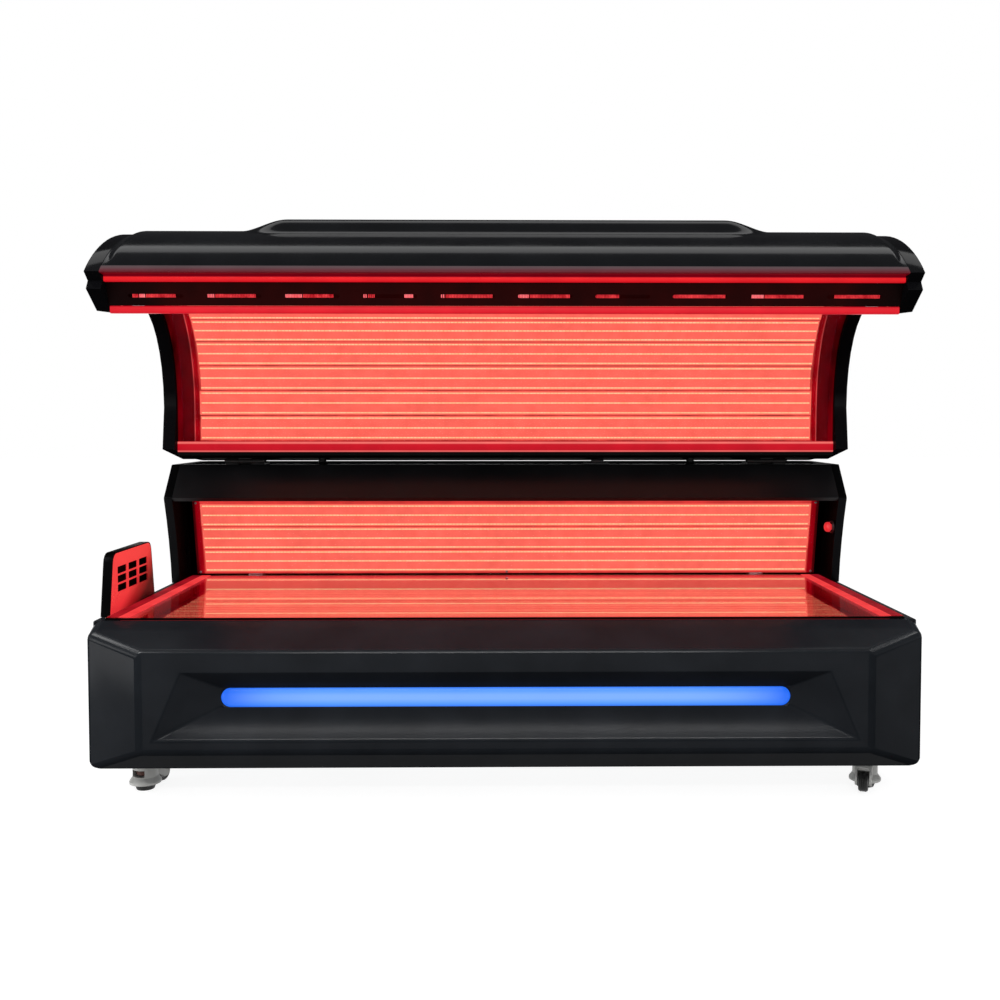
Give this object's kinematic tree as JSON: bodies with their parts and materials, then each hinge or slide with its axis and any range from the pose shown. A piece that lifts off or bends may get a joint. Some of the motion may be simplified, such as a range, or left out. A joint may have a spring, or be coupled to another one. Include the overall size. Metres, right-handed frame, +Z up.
{
  "type": "red light therapy bed",
  "caption": "Lie-down red light therapy bed with a clear lying surface, an upright rear light panel, a hinged curved canopy of light boards and levelling casters.",
  "frame": {"origin": "on the floor under the middle of the bed", "axes": "+X along the bed to the right of someone in front, +Y away from them, +Z up"},
  "size_m": [2.198, 1.157, 1.603],
  "materials": {
    "satin_charcoal": "satin moulded charcoal plastic",
    "gloss_black": "gloss black moulded plastic",
    "sheet_steel": "grey coated sheet steel",
    "aluminium": "mill finish aluminium",
    "light_board": "light boards glowing red",
    "red_bar": "red light bar, glowing",
    "red_plastic": "gloss red plastic",
    "clear_acrylic": "clear polished acrylic",
    "blue_lens": "diffusing lens lit blue",
    "black_rubber": "matt black rubber",
    "black_plastic": "matt black plastic",
    "cast_grey": "grey die casting",
    "hinge_steel": "bright steel"
  },
  "bodies": {
    "base": {"floor_pan": "sheet_steel", "bulkhead_left": "sheet_steel", "bulkhead_right": "sheet_steel", "upright_left": "sheet_steel", "upright_right": "sheet_steel", "front_fascia": "satin_charcoal", "lamp_lens": "blue_lens", "lamp_channel": "aluminium", "side_cover_left": "satin_charcoal", "side_cover_right": "satin_charcoal", "rear_cover": "satin_charcoal", "power_inlet": "black_plastic", "end_wall_left": "gloss_black", "end_wall_right": "gloss_black", "rear_hood": "gloss_black", "rear_top_panel": "gloss_black", "bed_tray": "sheet_steel", "bed_led_panel": "light_board", "bed_acrylic": "clear_acrylic", "rear_led_panel": "light_board", "rear_acrylic": "clear_acrylic", "stop_collar": "red_plastic", "air_outlet_box": "satin_charcoal", "air_outlet_grille": "red_plastic", "blower_housing": "black_plastic", "power_supply_left": "aluminium", "power_supply_right": "aluminium", "control_box": "black_plastic", "hinge_base_left": "hinge_steel", "hinge_base_right": "hinge_steel", "stop_post_left": "black_rubber", "stop_post_right": "black_rubber", "cable_gland": "black_plastic"},
    "canopy": {"canopy_beam": "aluminium", "canopy_shell": "gloss_black", "canopy_cap_left": "gloss_black", "canopy_cap_right": "gloss_black", "canopy_led_panel": "light_board", "canopy_acrylic": "clear_acrylic", "canopy_rear_rail": "red_bar", "lip_upper_rail": "red_bar", "lip_lower_rail": "red_bar", "lip_vent_panel": "gloss_black", "hinge_leaf_left": "hinge_steel", "hinge_leaf_right": "hinge_steel"},
    "stop_button": {"stop_button": "red_plastic"},
    "blower_wheel": {"blower_wheel": "black_plastic"},
    "caster_front_left_fork": {"caster_front_left_fork": "cast_grey"},
    "caster_front_left_wheel": {"caster_front_left_wheel": "black_plastic"},
    "caster_front_left_foot": {"caster_front_left_foot": "black_rubber"},
    "caster_front_right_fork": {"caster_front_right_fork": "cast_grey"},
    "caster_front_right_wheel": {"caster_front_right_wheel": "black_plastic"},
    "caster_front_right_foot": {"caster_front_right_foot": "black_rubber"},
    "caster_rear_left_fork": {"caster_rear_left_fork": "cast_grey"},
    "caster_rear_left_wheel": {"caster_rear_left_wheel": "black_plastic"},
    "caster_rear_left_foot": {"caster_rear_left_foot": "black_rubber"},
    "caster_rear_right_fork": {"caster_rear_right_fork": "cast_grey"},
    "caster_rear_right_wheel": {"caster_rear_right_wheel": "black_plastic"},
    "caster_rear_right_foot": {"caster_rear_right_foot": "black_rubber"}
  },
  "joints": [
    {"name": "canopy_hinge", "type": "hinge", "parent": "base", "child": "canopy", "pos_m": [0, 0.2515, 0.885], "axis": [1, 0, 0], "range_deg": [0, 50]},
    {"name": "stop_button_press", "type": "slide", "parent": "base", "child": "stop_button", "axis": [1, 0, 0], "range_m": [0, 0.005], "stiffness_N_per_m": 600},
    {"name": "blower_spin", "type": "hinge", "parent": "base", "child": "blower_wheel", "pos_m": [-1.08, -0.2125, 0.2925], "axis": [1, 0, 0], "continuous": true},
    {"name": "caster_front_left_fork_swivel", "type": "hinge", "parent": "base", "child": "caster_front_left_fork", "pos_m": [-1, -0.3495, 0.105], "axis": [0, 0, 1], "continuous": true},
    {"name": "caster_front_left_wheel_roll", "type": "hinge", "parent": "caster_front_left_fork", "child": "caster_front_left_wheel", "pos_m": [-0.97603, -0.29016, 0.0285], "axis": [-0.9272, 0.3746, 0], "continuous": true},
    {"name": "caster_front_left_foot_turn", "type": "hinge", "parent": "caster_front_left_fork", "child": "caster_front_left_foot", "pos_m": [-1, -0.3495, 0.05], "axis": [0, 0, 1], "continuous": true},
    {"name": "caster_front_right_fork_swivel", "type": "hinge", "parent": "base", "child": "caster_front_right_fork", "pos_m": [1, -0.3495, 0.105], "axis": [0, 0, 1], "continuous": true},
    {"name": "caster_front_right_wheel_roll", "type": "hinge", "parent": "caster_front_right_fork", "child": "caster_front_right_wheel", "pos_m": [0.97603, -0.40884, 0.0285], "axis": [0.9272, -0.3746, 0], "continuous": true},
    {"name": "caster_front_right_foot_turn", "type": "hinge", "parent": "caster_front_right_fork", "child": "caster_front_right_foot", "pos_m": [1, -0.3495, 0.05], "axis": [0, 0, 1], "continuous": true},
    {"name": "caster_rear_left_fork_swivel", "type": "hinge", "parent": "base", "child": "caster_rear_left_fork", "pos_m": [-1, 0.4015, 0.105], "axis": [0, 0, 1], "continuous": true},
    {"name": "caster_rear_left_wheel_roll", "type": "hinge", "parent": "caster_rear_left_fork", "child": "caster_rear_left_wheel", "pos_m": [-0.94757, 0.43821, 0.0285], "axis": [-0.5736, 0.8192, 0], "continuous": true},
    {"name": "caster_rear_left_foot_turn", "type": "hinge", "parent": "caster_rear_left_fork", "child": "caster_rear_left_foot", "pos_m": [-1, 0.4015, 0.05], "axis": [0, 0, 1], "continuous": true},
    {"name": "caster_rear_right_fork_swivel", "type": "hinge", "parent": "base", "child": "caster_rear_right_fork", "pos_m": [1, 0.4015, 0.105], "axis": [0, 0, 1], "continuous": true},
    {"name": "caster_rear_right_wheel_roll", "type": "hinge", "parent": "caster_rear_right_fork", "child": "caster_rear_right_wheel", "pos_m": [1.06014, 0.42339, 0.0285], "axis": [-0.342, 0.9397, 0], "continuous": true},
    {"name": "caster_rear_right_foot_turn", "type": "hinge", "parent": "caster_rear_right_fork", "child": "caster_rear_right_foot", "pos_m": [1, 0.4015, 0.05], "axis": [0, 0, 1], "continuous": true}
  ]
}
